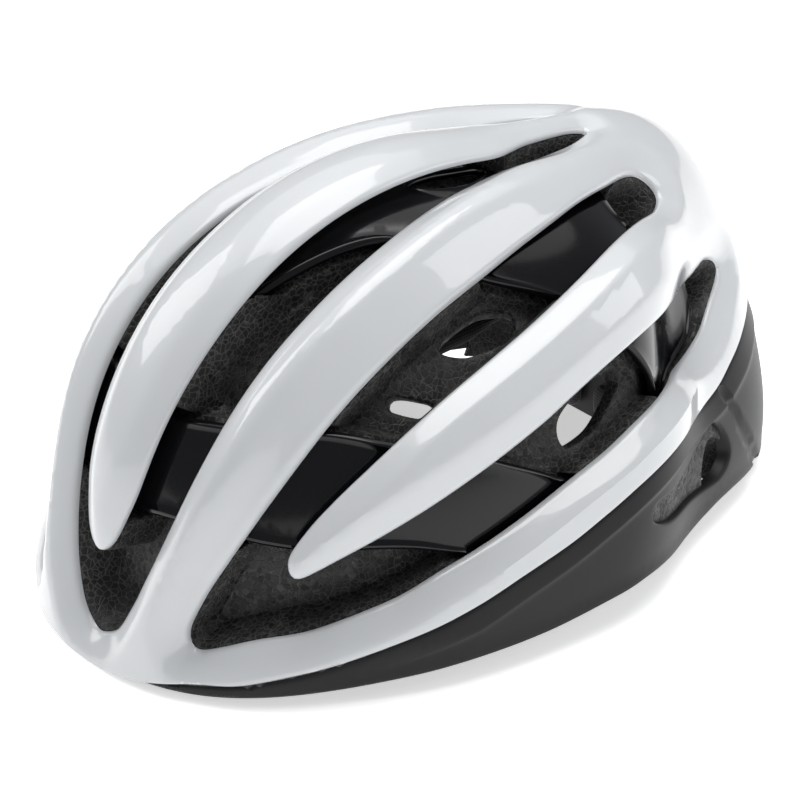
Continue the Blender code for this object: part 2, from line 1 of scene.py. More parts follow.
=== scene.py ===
# %% [markdown]
# # A vented road helmet
# The helmet is a bead-foam liner with a hard white shell over its ribs, a black band round its
# rim, and two gloss hoops that bridge the vents. Every hard surface here is a height over one
# egg-shaped form, drawn as a plain outline on a flat layout. That is how such a shell is
# designed, and it keeps shell, hoops and foam in step with each other.

import math

import bmesh
import bpy
import numpy as np
from mathutils import Matrix, Vector, geometry


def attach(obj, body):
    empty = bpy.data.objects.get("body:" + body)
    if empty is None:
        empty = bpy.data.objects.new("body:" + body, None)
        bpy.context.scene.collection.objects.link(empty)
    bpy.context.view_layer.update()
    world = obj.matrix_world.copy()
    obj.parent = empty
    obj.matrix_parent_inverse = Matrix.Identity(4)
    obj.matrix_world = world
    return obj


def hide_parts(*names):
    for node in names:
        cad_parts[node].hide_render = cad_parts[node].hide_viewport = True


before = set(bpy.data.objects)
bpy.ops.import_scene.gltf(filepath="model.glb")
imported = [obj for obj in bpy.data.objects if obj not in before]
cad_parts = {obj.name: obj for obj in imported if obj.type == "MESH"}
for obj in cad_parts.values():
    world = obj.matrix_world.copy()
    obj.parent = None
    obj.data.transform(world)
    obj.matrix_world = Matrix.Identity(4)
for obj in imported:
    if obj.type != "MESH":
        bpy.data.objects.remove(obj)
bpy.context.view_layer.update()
MM = 0.001
HEAD_CENTRE = np.array((0.0, 6.9, 27.45))

# %% [markdown]
# ## Camera
# The camera looks down on the helmet's front left quarter from far away, with a long lens, so
# the ribs keep their true proportions.

# %% Camera
AZIMUTH = math.radians(49.58)
ELEVATION = math.radians(29.17)
DISTANCE = 1.2479
LENS = 156.3

back = Vector((math.sin(AZIMUTH) * math.cos(ELEVATION),
               -math.cos(AZIMUTH) * math.cos(ELEVATION), math.sin(ELEVATION)))
right = Vector((math.cos(AZIMUTH), math.sin(AZIMUTH), 0))
up = back.cross(right)
camera = bpy.data.objects.new("camera", bpy.data.cameras.new("camera"))
turn = Matrix((right, up, back)).transposed()
camera.matrix_world = Matrix.Translation(
    Vector(HEAD_CENTRE * MM) + back * DISTANCE - right * 0.01224 + up * 0.01458) @ turn.to_4x4()
camera.data.lens = LENS
camera.data.sensor_width = 36
camera.data.clip_start = 0.05
bpy.context.scene.collection.objects.link(camera)
bpy.context.scene.camera = camera

# %% [markdown]
# ## Studio
# White goods are lit by large soft sources. A wide soft sky lights the whole table evenly, and
# three soft boxes, one overhead, one at the front and one behind, give the gloss parts their
# long reflections. The pale surroundings are kept dim, so that the black parts stay black.


# %% Studio
def soft_box(name, place, target, size, power, tint=(1, 1, 1)):
    """A rectangular area light at place, facing target."""
    light = bpy.data.lights.new(name, "AREA")
    light.shape = "RECTANGLE"
    light.size, light.size_y = size
    light.energy = power
    light.color = tint
    item = bpy.data.objects.new(name, light)
    item.location = place
    aim = Vector(target) - Vector(place)
    item.rotation_euler = aim.to_track_quat("-Z", "Y").to_euler()
    bpy.context.scene.collection.objects.link(item)
    return item


world = bpy.data.worlds.new("studio")
bpy.context.scene.world = world
world.use_nodes = True
world.node_tree.nodes["Background"].inputs["Color"].default_value = (0.95, 0.97, 1.0, 1)
world.node_tree.nodes["Background"].inputs["Strength"].default_value = 0.30
bpy.context.scene.view_settings.view_transform = "Standard"
AIM = (0, 0, 0.07)
soft_box("overhead", (0.05, 0.1, 1.0), AIM, (0.7, 0.7), 5.0)
soft_box("key", (-0.8, -0.55, 0.8), AIM, (0.45, 0.7), 3.2)
soft_box("rear", (0.75, 0.8, 0.55), AIM, (0.5, 0.5), 2.0)
sky = bpy.data.objects.new("sky", bpy.data.lights.new("sky", "SUN"))
sky.data.energy = 0.95
sky.data.angle = math.radians(70)
sky.rotation_euler = (math.radians(-12), math.radians(-14), 0)
bpy.context.scene.collection.objects.link(sky)

floor_mesh = bpy.data.meshes.new("floor")
REACH = 6.0
floor_mesh.from_pydata([(-REACH, -REACH, 0), (REACH, -REACH, 0), (REACH, REACH, 0),
                        (-REACH, REACH, 0)], [], [(0, 1, 2, 3)])
floor = bpy.data.objects.new("floor", floor_mesh)
bpy.context.scene.collection.objects.link(floor)

# %% [markdown]
# ## The flat layout
# A direction from the head centre is laid out flat as (p, q), in degrees from the crown: p to
# the wearer's left and q to the back. An outline drawn there wraps onto the head with little
# stretch, so the vents can be drawn as on paper.

# %% The helmet's form
HALF_WIDTH = 103.0
FRONT_REACH = 153.2
REAR_REACH = 126.8
CROWN_RISE = 135.3
SKIRT_DEPTH = 181.0
NOSE_PITCH = math.radians(-13.32)
PLAN_POWERS = (2.20, 1.45)
SIDE_POWERS = (2.22, 2.91)
TAIL_ROUND = 0.14
BUMPS = (((0.0, 0.0, 1.0), 0.40, -0.108), ((0.0, 0.75, 0.65), 0.35, 0.094),
         ((0.5, 0.6, 0.6), 0.32, -0.128), ((0.45, 0.9, 0.05), 0.30, 0.177),
         ((0.5, -0.45, 0.75), 0.40, -0.076), ((0.0, -0.8, 0.5), 0.35, -0.033),
         ((0.0, 1.0, 0.1), 0.30, 0.092), ((0.85, 0.3, 0.4), 0.35, -0.012))
HEAD_HALF_WIDTH, HEAD_HALF_LENGTH, HEAD_RISE = 79.0, 106.0, 94.0
HEAD_BACK, HEAD_SKIRT = -4.0, 400.0


def direction(flat):
    """(sin(r) p/r, sin(r) q/r, cos(r)) with r the length of (p, q) in radians."""
    flat = np.radians(flat)
    r = np.hypot(flat[:, 0], flat[:, 1]) + 1e-9
    return np.column_stack([flat * (np.sin(r) / r)[:, None], np.cos(r)])


def crest(flat):
    """Distance from the head centre to the crest of the ribs.

    A superellipsoid (|x/a|^n + |y/b|^n)^(m/n) + |z/c|^m = 1 pitched nose down, whose powers
    change from the front half to the back half, times 1 + g exp(-d^2 / 2 s^2) for each bump.
    """
    d = direction(flat)
    cos_pitch, sin_pitch = math.cos(NOSE_PITCH), math.sin(NOSE_PITCH)
    x = np.abs(d[:, 0])
    y = d[:, 1] * cos_pitch + d[:, 2] * sin_pitch
    z = d[:, 2] * cos_pitch - d[:, 1] * sin_pitch
    t = smooth((y + 0.6) / 1.2)
    x = np.hypot(x, TAIL_ROUND * t)
    n = PLAN_POWERS[0] + (PLAN_POWERS[1] - PLAN_POWERS[0]) * t
    m = SIDE_POWERS[0] + (SIDE_POWERS[1] - SIDE_POWERS[0]) * t
    b = np.where(y < 0, FRONT_REACH, REAR_REACH)
    c = np.where(z > 0, CROWN_RISE, SKIRT_DEPTH)
    plan = (x / HALF_WIDTH) ** n + (np.abs(y) / b) ** n
    r = (plan ** (m / n) + (np.abs(z) / c) ** m) ** (-1 / m)
    swell = 1.0
    for centre, spread, gain in BUMPS:
        centre = np.array(centre) / np.linalg.norm(centre)
        away = (np.abs(d[:, 0]) - centre[0]) ** 2 + (y - centre[1]) ** 2 + (z - centre[2]) ** 2
        swell = swell + gain * np.exp(-away / (2 * spread ** 2))
    return r * swell


def head(flat):
    """Distance to the head hollow: r solves (x r/a)^2 + ((y r - y0)/b)^2 + (z r/c)^2 = 1."""
    x, y, z = direction(flat).T
    height = np.where(z > 0, HEAD_RISE, HEAD_SKIRT)
    a = (x / HEAD_HALF_WIDTH) ** 2 + (y / HEAD_HALF_LENGTH) ** 2 + (z / height) ** 2
    b = -2 * y * HEAD_BACK / HEAD_HALF_LENGTH ** 2
    c = (HEAD_BACK / HEAD_HALF_LENGTH) ** 2 - 1
    return (np.sqrt(b * b - 4 * a * c) - b) / (2 * a)


def smooth(t):
    """3 t^2 - 2 t^3 between 0 and 1."""
    t = np.clip(t, 0, 1)
    return t * t * (3 - 2 * t)


# %% [markdown]
# ## Outlines
# Each outline is a short list of points with a smooth curve through them. A helmet is the same
# left and right, so only the left half is drawn.

# %% Outlines of the vents, hoops and edges
RIM = [(0, -99.9), (15, -98), (29, -93.2), (40.5, -88), (55, -77), (67, -63), (74, -50),
       (78, -36), (80, -21), (79, -7), (76.3, 5), (72.3, 18), (67.5, 31), (61, 46), (52, 58),
       (42, 65.5), (31, 71), (16, 75.5), (0, 77)]
CENTRE_VENT = [(0, -97), (6, -95), (9.8, -90.2), (12.1, -85), (13.8, -79.5), (15.2, -72),
               (16, -63), (16.2, -50), (16, -39), (14.9, -26), (12.9, -14), (10.2, -1.5),
               (8.8, 7.5), (8.5, 14), (8, 20), (6.5, 26), (4, 31), (3.3, 28), (3.6, 23), (4.4, 17),
               (5.6, 13), (6.9, 8), (7.1, 0), (7.4, -10), (7.6, -24), (7.7, -38), (7.9, -52),
               (7.6, -64), (7, -73), (5.8, -78), (3.4, -83), (0, -85)]
SIDE_VENT = [(15, 34), (19, 23), (24, 8), (26.8, -4), (28.5, -14), (29.5, -24), (30.3, -36),
             (30.4, -48), (30, -59), (28.8, -68), (27, -76), (24.6, -84), (23.6, -89.4),
             (27, -90.6), (37, -84.5), (47.6, -77), (58.3, -64.6), (64, -53), (68.2, -40.8),
             (70.3, -28), (70.3, -15), (68.6, -1.6), (65, 10), (60, 23.5), (53.6, 38),
             (46, 51), (36.5, 59.5), (27, 63), (19, 65), (21.5, 58.5), (29, 50.5), (38, 38),
             (45, 24), (49.8, 11), (52.8, 1), (55, -8.5), (56.4, -18), (56.4, -28.7),
             (55.1, -39), (52.5, -49), (48.3, -59), (42.6, -68.6), (39.5, -71.8), (36.9, -70),
             (37.4, -64.5), (38.7, -58), (40, -51), (40.9, -43.5), (41.4, -35), (41.4, -24),
             (40.5, -13.7), (38.7, -4.2), (35.8, 5.6), (31.6, 16), (26.6, 27), (22.2, 35.6),
             (17.8, 39)]
FRONT_HOOP_FORE = [(0, -79), (12, -77), (20, -75), (31, -72), (42, -66.5), (57, -55), (66, -48),
                   (73, -40)]
FRONT_HOOP_AFT = [(0, -63.5), (8, -63), (20, -58.5), (31, -51.5), (41, -45), (50, -36.5),
                  (59, -28), (68, -17), (75, -8)]
REAR_HOOP_FORE = [(0, -56), (4, -52), (8, -39), (13, -24), (20, -18), (28, -13), (37, -1),
                  (44, 6), (50, 13), (56, 21), (62, 27)]
REAR_HOOP_AFT = [(0, 9), (6, 11), (12, 22), (16, 26.5), (24, 27), (27, 36), (26, 46), (24, 52),
                 (28, 59), (36, 60), (46, 52), (56, 39)]
HOOP_SLIT = [(4.7, -10.5), (3.6, -5), (3.4, 1), (3.2, 7), (4.5, 8), (6.8, 3.5), (7.8, -1.3),
             (7.2, -6)]
THROUGH_VENTS = (
    [(9, -60), (15, -57.5), (15.6, -40), (14, -28), (11.5, -33), (9.4, -45), (8.6, -54)],
    [(32.2, -27), (36.9, -23.3), (38.9, -15), (38.4, -10.5), (35.6, -8.4), (32.8, -11),
     (31.3, -17)],
    [(33.2, -41.2), (34.8, -42.9), (40.4, -38.9), (40.3, -35.6), (37, -37.8)],
    [(58.4, -7.5), (65, -9), (65, 0), (62, 7), (56, 14.5), (53, 11.3)],
    [(61, 62), (60, 69), (64.5, 73.5), (72, 70), (77, 63), (72.5, 57), (65.5, 57.5)],
)
BAND_SLOT = [(86, 13), (82.5, 12), (80, 23), (75, 35), (67.5, 48), (60, 57), (59, 63.5),
             (62.5, 67.5), (70, 63.5), (78, 51.5), (84.3, 36), (87, 23)]
EDGE_HEIGHTS = ((0, -27.5), (20, -25.8), (40, -21.5), (55, -19), (70, -18), (86, -15.5),
                (98, -14.5), (110, -17), (122, -18.5), (135, -17.5), (148, -20.5),
                (162, -25.5), (180, -27.5))
OUTLINE_STEP = 0.9


def both_sides(half):
    """A closed outline from its left half, whose first and last points are on the middle line."""
    half = np.asarray(half, float)
    return np.vstack([half, half[-2:0:-1] * (-1, 1)])


def mirrored(outline):
    return np.asarray(outline, float)[::-1] * (-1, 1)


def fine_curve(outline):
    """The closed Catmull-Rom curve p0 + t (p1 - p-1)/2 + ..., 12 to a stretch, and its run."""
    points = np.asarray(outline, float)
    before, after, later = (np.roll(points, k, axis=0) for k in (1, -1, -2))
    t = np.linspace(0, 1, 12, endpoint=False)[None, :, None]
    p0, p1, p2, p3 = (v[:, None] for v in (before, points, after, later))
    fine = 0.5 * (2 * p1 + (p2 - p0) * t + (2 * p0 - 5 * p1 + 4 * p2 - p3) * t ** 2
                  + (3 * p1 - p0 - 3 * p2 + p3) * t ** 3)
    fine = fine.reshape(-1, 2)
    fine = np.vstack([fine, fine[:1]])
    run = np.concatenate([[0], np.cumsum(np.linalg.norm(np.diff(fine, axis=0), axis=1))])
    return fine, run


def even(outline):
    """The smooth closed curve through the points, in equal steps."""
    fine, run = fine_curve(outline)
    at = np.linspace(0, run[-1], max(8, round(run[-1] / OUTLINE_STEP)), endpoint=False)
    return np.column_stack([np.interp(at, run, fine[:, 0]), np.interp(at, run, fine[:, 1])])


def inside(flat, outline):
    """True where a ray along +p crosses the outline an odd number of times."""
    low, high = outline[:, 1], np.roll(outline[:, 1], -1)
    run = np.where(high == low, 1.0, high - low)
    slope = (np.roll(outline[:, 0], -1) - outline[:, 0]) / run
    found = []
    for part in np.array_split(flat, len(flat) // 4000 + 1):
        p, q = part[:, :1], part[:, 1:]
        where = outline[:, 0] + (q - low) * slope
        found.append((((low > q) != (high > q)) & (p < where)).sum(axis=1) % 2 == 1)
    return np.concatenate(found)


def squared_distance(flat, line):
    """|a - b|^2 = |a|^2 + |b|^2 - 2 a.b for every pair of points."""
    return ((flat ** 2).sum(1)[:, None] + (line ** 2).sum(1)) - 2 * flat @ line.T


def away_from(flat, line, closed=True):
    """Distance in degrees to a line: from its nearest point, to the two stretches beside it."""
    found = []
    for part in np.array_split(flat, len(flat) // 8000 + 1):
        near = squared_distance(part, line).argmin(1)
        best = np.full(len(part), np.inf)
        for side in (-1, 1):
            other = (near + side) % len(line) if closed else np.clip(near + side, 0, len(line) - 1)
            run, offset = line[other] - line[near], part - line[near]
            t = np.clip((offset * run).sum(1) / np.maximum((run ** 2).sum(1), 1e-12), 0, 1)
            best = np.minimum(best, ((offset - run * t[:, None]) ** 2).sum(1))
        found.append(np.sqrt(best))
    return np.concatenate(found)


def depth_in(flat, outline):
    """Distance to the outline in degrees, positive inside it."""
    away = away_from(flat, outline)
    return np.where(inside(flat, outline), away, -away)


def edge_flat(angle, lift=0.0):
    """Flat place of the lower edge at this many degrees round from the front."""
    angles, heights = np.array(EDGE_HEIGHTS).T
    height = np.interp(abs(angle), angles, heights) + lift
    turn = math.radians(angle - 90)
    flat = np.array([[math.cos(turn), math.sin(turn)]]) * 98
    for _ in range(4):
        polar = 90 + math.degrees(math.asin(min(-height / crest(flat)[0], 0.9)))
        flat = np.array([[math.cos(turn), math.sin(turn)]]) * polar
    return flat[0]


def lower_edge(lift=0.0):
    half = [edge_flat(angle, lift) for angle in range(0, 181, 6)]
    half[0][0] = half[-1][0] = 0.0
    return both_sides(half)


def band_between(fore, aft):
    """The closed outline of a hoop from the left halves of its two edges."""
    return both_sides(np.vstack([aft, fore[::-1]]))


def ring(outline, out):
    """The outline moved this many degrees away from its inside, less the points that cross."""
    ahead = np.roll(outline, -1, axis=0) - np.roll(outline, 1, axis=0)
    normal = np.column_stack([ahead[:, 1], -ahead[:, 0]])
    normal /= np.linalg.norm(normal, axis=1, keepdims=True) + 1e-9
    after = np.roll(outline, -1, axis=0)
    area = (outline[:, 0] * after[:, 1] - outline[:, 1] * after[:, 0]).sum()
    moved = outline + normal * math.copysign(out, area * out)
    return moved[np.abs(away_from(moved, outline) - abs(out)) < 0.04 + 0.03 * abs(out)]


rim = even(both_sides(RIM))
centre_vent = even(both_sides(CENTRE_VENT))
side_vents = [even(SIDE_VENT), even(mirrored(SIDE_VENT))]
vents = [centre_vent, *side_vents]
hoop_outlines = [even(band_between(FRONT_HOOP_FORE, FRONT_HOOP_AFT)),
                 even(band_between(REAR_HOOP_FORE, REAR_HOOP_AFT))]
through_vents = [even(line) for vent in THROUGH_VENTS for line in (vent, mirrored(vent))]
band_slots = [even(BAND_SLOT), even(mirrored(BAND_SLOT))]
hoop_slits = [even(HOOP_SLIT), even(mirrored(HOOP_SLIT))]
shell_edge = even(lower_edge())
print(len(rim), "points round the rim")

# %% [markdown]
# ## From outline to solid
# A sheet over an outline is a triangulated flat net, lifted to a height at each point. Rows of
# points that follow each edge carry its rounding, and a looser grid fills the rest. Two sheets
# and a wall between their borders make a closed solid.


# %% Solids over the flat layout
def flat_net(outline, holes, spacing, rows):
    """Points and triangles that fill an outline less its holes.

    Rows are extra lines of points, such as offsets of an edge. The rest is a grid of
    equilateral triangles, kept clear of every line, joined by Delaunay's rule.
    """
    loops = [outline, *holes]
    low, high = outline.min(0), outline.max(0)
    across = np.arange(-math.ceil(high[0] / spacing), math.ceil(high[0] / spacing) + 1) * spacing
    levels = np.arange(low[1], high[1], spacing * 0.87)
    shift = (np.arange(len(levels)) % 2) * spacing / 2
    grid = np.stack(np.broadcast_arrays(across[None] + shift[:, None], levels[:, None]), -1)
    grid = grid.reshape(-1, 2)
    keep = inside(grid, outline)
    for hole in holes:
        keep &= ~inside(grid, hole)
    grid = grid[keep]
    lines = np.vstack([*loops, *rows])
    for part in np.array_split(np.arange(len(grid)), len(grid) // 4000 + 1):
        keep = squared_distance(grid[part], lines).min(1) > (0.6 * spacing) ** 2
        grid[part[~keep]] = np.nan
    grid = grid[~np.isnan(grid[:, 0])]
    rows = [line[inside(line, outline) & (away_from(line, outline) > 0.15)] for line in rows]
    for hole in holes:
        rows = [line[~inside(line, hole) & (away_from(line, hole) > 0.1)] for line in rows]
    points = np.vstack([*loops, *rows, grid])
    first = np.cumsum([0] + [len(line) for line in loops])
    edges = np.vstack([np.column_stack([np.arange(a, b), a + (np.arange(b - a) + 1) % (b - a)])
                       for a, b in zip(first, first[1:])])
    flat, _, faces = geometry.delaunay_2d_cdt(
        [Vector(point) for point in points], edges.tolist(), [], 0, 1e-4)[:3]
    flat, faces = np.array(flat), np.array(faces)
    middle = flat[faces].mean(1)
    keep = inside(middle, outline)
    for hole in holes:
        keep &= ~inside(middle, hole)
    faces = faces[keep]
    a, b = flat[faces[:, 1]] - flat[faces[:, 0]], flat[faces[:, 2]] - flat[faces[:, 0]]
    flip = a[:, 0] * b[:, 1] - a[:, 1] * b[:, 0] < 0
    faces[flip] = faces[flip][:, ::-1]
    used = np.unique(faces)
    return flat[used], np.searchsorted(used, faces)


def lifted(net, outer, inner):
    """Points and faces of the closed solid direction(p, q) * height between two heights."""
    flat, faces = net
    count = len(flat)
    ends = np.vstack([faces[:, [0, 1]], faces[:, [1, 2]], faces[:, [2, 0]]])
    key = ends[:, 0] * count + ends[:, 1]
    border = ends[~np.isin(key, ends[:, 1] * count + ends[:, 0])]
    a, b = border.T
    walls = np.vstack([np.column_stack([b, a, a + count]),
                       np.column_stack([b, a + count, b + count])])
    d = direction(flat)
    points = np.vstack([d * outer[:, None], d * inner[:, None]])
    return points, np.vstack([faces, faces[:, ::-1] + count, walls])


def new_piece(name, points, faces, look, body, nodes, slot, smooth_under=35):
    """A mesh piece from points in millimetres about the head centre, riding on a body."""
    mesh = bpy.data.meshes.new(name)
    faces = faces.tolist() if isinstance(faces, np.ndarray) else faces
    mesh.from_pydata((points + HEAD_CENTRE) * MM, [], faces)
    mesh.shade_smooth()
    mesh.set_sharp_from_angle(angle=math.radians(smooth_under))
    mesh.materials.append(look)
    item = bpy.data.objects.new(name, mesh)
    bpy.context.scene.collection.objects.link(item)
    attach(item, body)
    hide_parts(*nodes)
    print(name, len(mesh.polygons), "faces")
    return item


# %% [markdown]
# ## Finishes
# The white shell is a sheet of clear-coated pearl plastic, so it is a soft white under a sharp
# clear coat, with a fine sparkle. The same fine grain group also breaks up the black plastics.


# %% Node helpers and the shared grain
def group(name, inputs, outputs):
    """An empty node group with named sockets, and its first and last nodes."""
    tree = bpy.data.node_groups.new(name, "ShaderNodeTree")
    for label, kind, value in inputs:
        socket = tree.interface.new_socket(label, in_out="INPUT", socket_type=kind)
        if value is not None:
            socket.default_value = value
    for label, kind in outputs:
        tree.interface.new_socket(label, in_out="OUTPUT", socket_type=kind)
    return tree, tree.nodes.new("NodeGroupInput"), tree.nodes.new("NodeGroupOutput")


def node(tree, kind, inputs=None, **settings):
    """A new node with its settings, its inputs set to values or linked to sockets."""
    item = tree.nodes.new(kind)
    for key, value in settings.items():
        setattr(item, key, value)
    for key, value in (inputs or {}).items():
        if isinstance(value, bpy.types.NodeSocket):
            tree.links.new(value, item.inputs[key])
        else:
            item.inputs[key].default_value = value
    return item


def ramp(tree, value, low, high, to_low=0.0, to_high=1.0):
    """The value carried from low..high to to_low..to_high, clamped."""
    return node(tree, "ShaderNodeMapRange", {
        "Value": value, "From Min": low, "From Max": high, "To Min": to_low, "To Max": to_high,
    }).outputs["Result"]


def place_group(tree, shared, inputs):
    """A shared group placed in a material's tree, with these values."""
    return node(tree, "ShaderNodeGroup", inputs, node_tree=shared)


def finish(name, **settings):
    """A material, its node tree and its shader, with these shader inputs set: coat_weight=1."""
    look = bpy.data.materials.new(name)
    look.use_nodes = True
    tree = look.node_tree
    shader = tree.nodes["Principled BSDF"]
    for key, value in settings.items():
        shader.inputs[key.replace("_", " ").title()].default_value = value
    return look, tree, shader


grain, first, last = group(
    "moulded_grain",
    [("Position", "NodeSocketVector", None), ("Colour", "NodeSocketColor", (0.02, 0.02, 0.02, 1)),
     ("Variation", "NodeSocketFloat", 0.2), ("Roughness", "NodeSocketFloat", 0.5),
     ("Scale", "NodeSocketFloat", 1500.0)],
    [("Colour", "NodeSocketColor"), ("Roughness", "NodeSocketFloat"),
     ("Height", "NodeSocketFloat")])
fine = node(grain, "ShaderNodeTexNoise", {"Vector": first.outputs["Position"],
                                          "Scale": first.outputs["Scale"], "Detail": 3.0})
broad = node(grain, "ShaderNodeTexNoise", {"Vector": first.outputs["Position"], "Scale": 35.0,
                                           "Detail": 4.0})
shade = node(grain, "ShaderNodeMath", {0: broad.outputs["Fac"], 1: 0.5}, operation="SUBTRACT")
shade = node(grain, "ShaderNodeMath", {0: shade.outputs[0], 1: first.outputs["Variation"], 2: 1.0},
             operation="MULTIPLY_ADD")
tinted = node(grain, "ShaderNodeVectorMath", {0: first.outputs["Colour"]}, operation="SCALE")
grain.links.new(shade.outputs[0], tinted.inputs["Scale"])
rough = node(grain, "ShaderNodeMath", {0: fine.outputs["Fac"], 1: 0.16, 2: -0.08},
             operation="MULTIPLY_ADD")
rough = node(grain, "ShaderNodeMath", {0: rough.outputs[0], 1: first.outputs["Roughness"]},
             operation="ADD")
grain.links.new(tinted.outputs[0], last.inputs["Colour"])
grain.links.new(rough.outputs[0], last.inputs["Roughness"])
grain.links.new(fine.outputs["Fac"], last.inputs["Height"])


def plastic(name, tint, variation, roughness, scale, bump, coat=0.0, coat_roughness=0.05,
            specular=0.5):
    """Moulded plastic: the grain group's colour and roughness, with its height as a fine bump."""
    look, tree, shader = finish(name, coat_weight=coat, coat_roughness=coat_roughness)
    shader.inputs["Specular IOR Level"].default_value = specular
    where = node(tree, "ShaderNodeTexCoord")
    cell = place_group(tree, grain, {"Position": where.outputs["Object"], "Colour": (*tint, 1),
                                     "Variation": variation, "Roughness": roughness,
                                     "Scale": scale})
    raised = node(tree, "ShaderNodeBump", {"Height": cell.outputs["Height"],
                                           "Strength": bump, "Distance": 0.0001})
    tree.links.new(cell.outputs["Colour"], shader.inputs["Base Color"])
    tree.links.new(cell.outputs["Roughness"], shader.inputs["Roughness"])
    tree.links.new(raised.outputs["Normal"], shader.inputs["Normal"])
    return look


# %% Plastics
pearl_white = plastic("pearl_white", (0.615, 0.63, 0.642), 0.05, 0.34, 5000.0, 0.08, coat=1.0,
                      coat_roughness=0.05)
satin_black = plastic("satin_black", (0.010, 0.010, 0.011), 0.25, 0.40, 2600.0, 0.35,
                      specular=0.25)
gloss_black = plastic("gloss_black", (0.003, 0.003, 0.004), 0.3, 0.13, 900.0, 0.015, specular=0.35)
nylon_black = plastic("nylon_black", (0.02, 0.02, 0.021), 0.3, 0.5, 1800.0, 0.5)
rubber_black = plastic("rubber_black", (0.03, 0.03, 0.031), 0.3, 0.72, 1300.0, 0.8)

# %% [markdown]
# ## Bead foam
# The liner is expanded foam: thousands of beads a few millimetres across, pressed flat against
# each other in the mould. A cell pattern gives the beads. Their seams stand a little proud, and
# are painted lighter than the beads, in patches, as painted sheen where the seams catch the light.

# %% Bead foam
beads, first, last = group(
    "bead_cells",
    [("Position", "NodeSocketVector", None), ("Scale", "NodeSocketFloat", 420.0),
     ("Dark", "NodeSocketColor", (0.004, 0.004, 0.004, 1)),
     ("Light", "NodeSocketColor", (0.03, 0.03, 0.03, 1))],
    [("Colour", "NodeSocketColor"), ("Roughness", "NodeSocketFloat"),
     ("Height", "NodeSocketFloat")])
warp = node(beads, "ShaderNodeTexNoise", {"Vector": first.outputs["Position"], "Scale": 160.0})
bent = node(beads, "ShaderNodeVectorMath", {0: warp.outputs["Color"], 1: (0.0016,) * 3},
            operation="MULTIPLY")
bent = node(beads, "ShaderNodeVectorMath", {0: bent.outputs[0], 1: first.outputs["Position"]},
            operation="ADD")
cells = node(beads, "ShaderNodeTexVoronoi", {"Vector": bent.outputs[0],
                                             "Scale": first.outputs["Scale"]},
             feature="DISTANCE_TO_EDGE")
whole = node(beads, "ShaderNodeTexVoronoi", {"Vector": bent.outputs[0],
                                             "Scale": first.outputs["Scale"]})
seam = ramp(beads, cells.outputs["Distance"], 0.0, 0.09)
each = node(beads, "ShaderNodeSeparateColor", {"Color": whole.outputs["Color"]})
patchy = node(beads, "ShaderNodeTexNoise", {"Vector": first.outputs["Position"], "Scale": 60.0,
                                            "Detail": 3.0})
# Painted sheen: the bead seams are painted lighter than the beads, in patches, standing in for the
# foam's grey glints.
painted_seam_sheen = ramp(beads, cells.outputs["Distance"], 0.0, 0.12, 1.0, 0.1)
tone = node(beads, "ShaderNodeMath", {0: each.outputs[0], 1: 0.25, 2: painted_seam_sheen},
            operation="MULTIPLY_ADD")
tone = node(beads, "ShaderNodeMath", {0: tone.outputs[0], 1: patchy.outputs["Fac"]},
            operation="MULTIPLY")
mixed = node(beads, "ShaderNodeMix", {0: ramp(beads, tone.outputs[0], 0.05, 0.7)},
             data_type="RGBA")
beads.links.new(first.outputs["Dark"], mixed.inputs[6])
beads.links.new(first.outputs["Light"], mixed.inputs[7])
beads.links.new(mixed.outputs[2], last.inputs["Colour"])
beads.links.new(ramp(beads, each.outputs[1], 0, 1, 0.42, 0.75), last.inputs["Roughness"])
beads.links.new(seam, last.inputs["Height"])

bead_foam, tree, shader = finish("bead_foam")
where = node(tree, "ShaderNodeTexCoord")
# The Light colour serves the lighter beads and the painted sheen on their seams.
cell = place_group(tree, beads, {"Position": where.outputs["Object"], "Scale": 480.0,
                                 "Dark": (0.005, 0.006, 0.006, 1),
                                 "Light": (0.11, 0.105, 0.10, 1)})
raised = node(tree, "ShaderNodeBump", {"Height": cell.outputs["Height"], "Strength": 0.6,
                                       "Distance": 0.0004})
tree.links.new(cell.outputs["Colour"], shader.inputs["Base Color"])
tree.links.new(cell.outputs["Roughness"], shader.inputs["Roughness"])
tree.links.new(raised.outputs["Normal"], shader.inputs["Normal"])

# %% [markdown]
# ## White shell
# Each rib is a soft crown with a sloping facet down to each vent, and a small rolled lip where
# the sheet turns into the vent. The facet's width differs from edge to edge. So that two facets
# meet in a soft ridge, and not in a knife edge, the distance to the edges is summed as a
# potential: nearby edges all pull at once.

# %% Rib facets and lips
SHELL_WALL = 1.8
LIP_ROLL = 1.2
ROLL_WIDTH = 0.65
CENTRE_FACETS = ((0, 4.0, 6.5), (4, 4.8, 7.5), (7, 5.2, 8.5), (11, 5.2, 10), (12, 4.6, 8),
                 (14, 4.2, 5), (17, 3.4, 3), (21, 3.6, 2.6), (25, 4.0, 3.6), (31, 4.6, 4.5))
SIDE_FACETS = ((0, 4.5, 5), (2, 6.5, 7), (4, 8.2, 8), (10, 8.2, 8), (12, 5.5, 7.5), (15, 4.4, 7.5),
               (22, 4.6, 8), (26, 4.4, 6), (30, 4.2, 4.5), (36, 5.0, 4.5), (42, 4.4, 5),
               (46, 4.6, 6), (54, 4.6, 5.5), (56, 4.5, 5))
POWER = 6
SOFT_CREASE = 0.04
LEAST_SQUARE = 0.6
NEAR_FACET = 4.6
CALM_RIM = 3.5


def along_outline(drawn, table, column):
    """A column of a table, at each point of the even outline, from values at its drawn points."""
    run = fine_curve(drawn)[1]
    at = np.linspace(0, run[-1], max(8, round(run[-1] / OUTLINE_STEP)), endpoint=False)
    index, values = np.array(table, float).T[[0, column]]
    return np.interp(np.interp(at, run, np.arange(len(run)) / 12), index, values,
                     period=len(drawn))


def turned(table, last):
    """The table of an outline that is drawn the other way round."""
    return [(last - row[0], *row[1:]) for row in table[::-1]]


